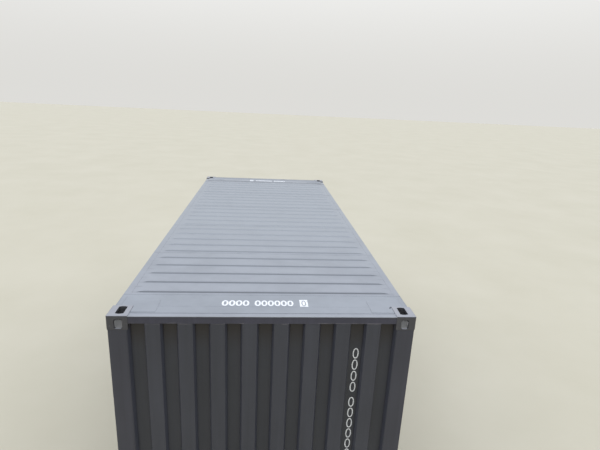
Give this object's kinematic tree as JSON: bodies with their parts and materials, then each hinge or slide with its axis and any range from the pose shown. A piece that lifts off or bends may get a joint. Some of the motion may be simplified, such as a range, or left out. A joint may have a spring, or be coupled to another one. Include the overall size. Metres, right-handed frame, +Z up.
{
  "type": "shipping container",
  "caption": "Twenty-foot dry cargo container of corrugated painted steel, with stamped roof ridges, open corner castings, fork pockets and closed double doors.",
  "frame": {"origin": "on the ground under the middle of the container, level with the undersides of the four bottom castings", "axes": "+Z up, +Y along the length towards the doors, +X across the width, to the right of someone who looks at the blind end"},
  "size_m": [2.438, 6.058, 2.591],
  "materials": {
    "casting_paint": "satin paint on cast steel",
    "frame_paint": "satin paint on folded steel",
    "panel_paint": "satin paint on corrugated steel",
    "roof_paint": "dusty satin paint on stamped steel",
    "underframe_coating": "matt waxy coating",
    "plywood": "oiled plywood",
    "forged_steel": "satin paint on forged steel",
    "galvanised_steel": "dull zinc",
    "seal_rubber": "matt",
    "vent_plastic": "moulded"
  },
  "bodies": {
    "root": {"casting_top_front_left": "casting_paint", "casting_top_front_right": "casting_paint", "casting_top_rear_left": "casting_paint", "casting_top_rear_right": "casting_paint", "casting_bottom_front_left": "casting_paint", "casting_bottom_front_right": "casting_paint", "casting_bottom_rear_left": "casting_paint", "casting_bottom_rear_right": "casting_paint", "front_post_left": "frame_paint", "front_post_right": "frame_paint", "rear_post_left": "frame_paint", "rear_post_right": "frame_paint", "front_header": "frame_paint", "door_header": "frame_paint", "front_sill": "frame_paint", "door_sill": "frame_paint", "top_rail_left": "frame_paint", "top_rail_right": "frame_paint", "bottom_rail_left": "frame_paint", "bottom_rail_right": "frame_paint", "cross_members": "underframe_coating", "fork_pockets": "underframe_coating", "floor_boards": "plywood", "front_wall": "panel_paint", "side_wall_left": "panel_paint", "side_wall_right": "panel_paint", "roof_panel_1": "roof_paint", "roof_panel_2": "roof_paint", "roof_panel_3": "roof_paint", "roof_panel_4": "roof_paint", "roof_panel_5": "roof_paint", "roof_plate_front": "roof_paint", "roof_plate_rear": "roof_paint", "corner_plates": "roof_paint", "door_frame_left": "panel_paint", "door_frame_right": "panel_paint", "door_panel_left": "panel_paint", "door_panel_right": "panel_paint", "door_hinges": "forged_steel", "lock_rods": "galvanised_steel", "rod_brackets": "forged_steel", "cam_keepers": "forged_steel", "door_handles": "galvanised_steel", "door_seal": "seal_rubber", "ventilators": "vent_plastic"}
  },
  "joints": []
}
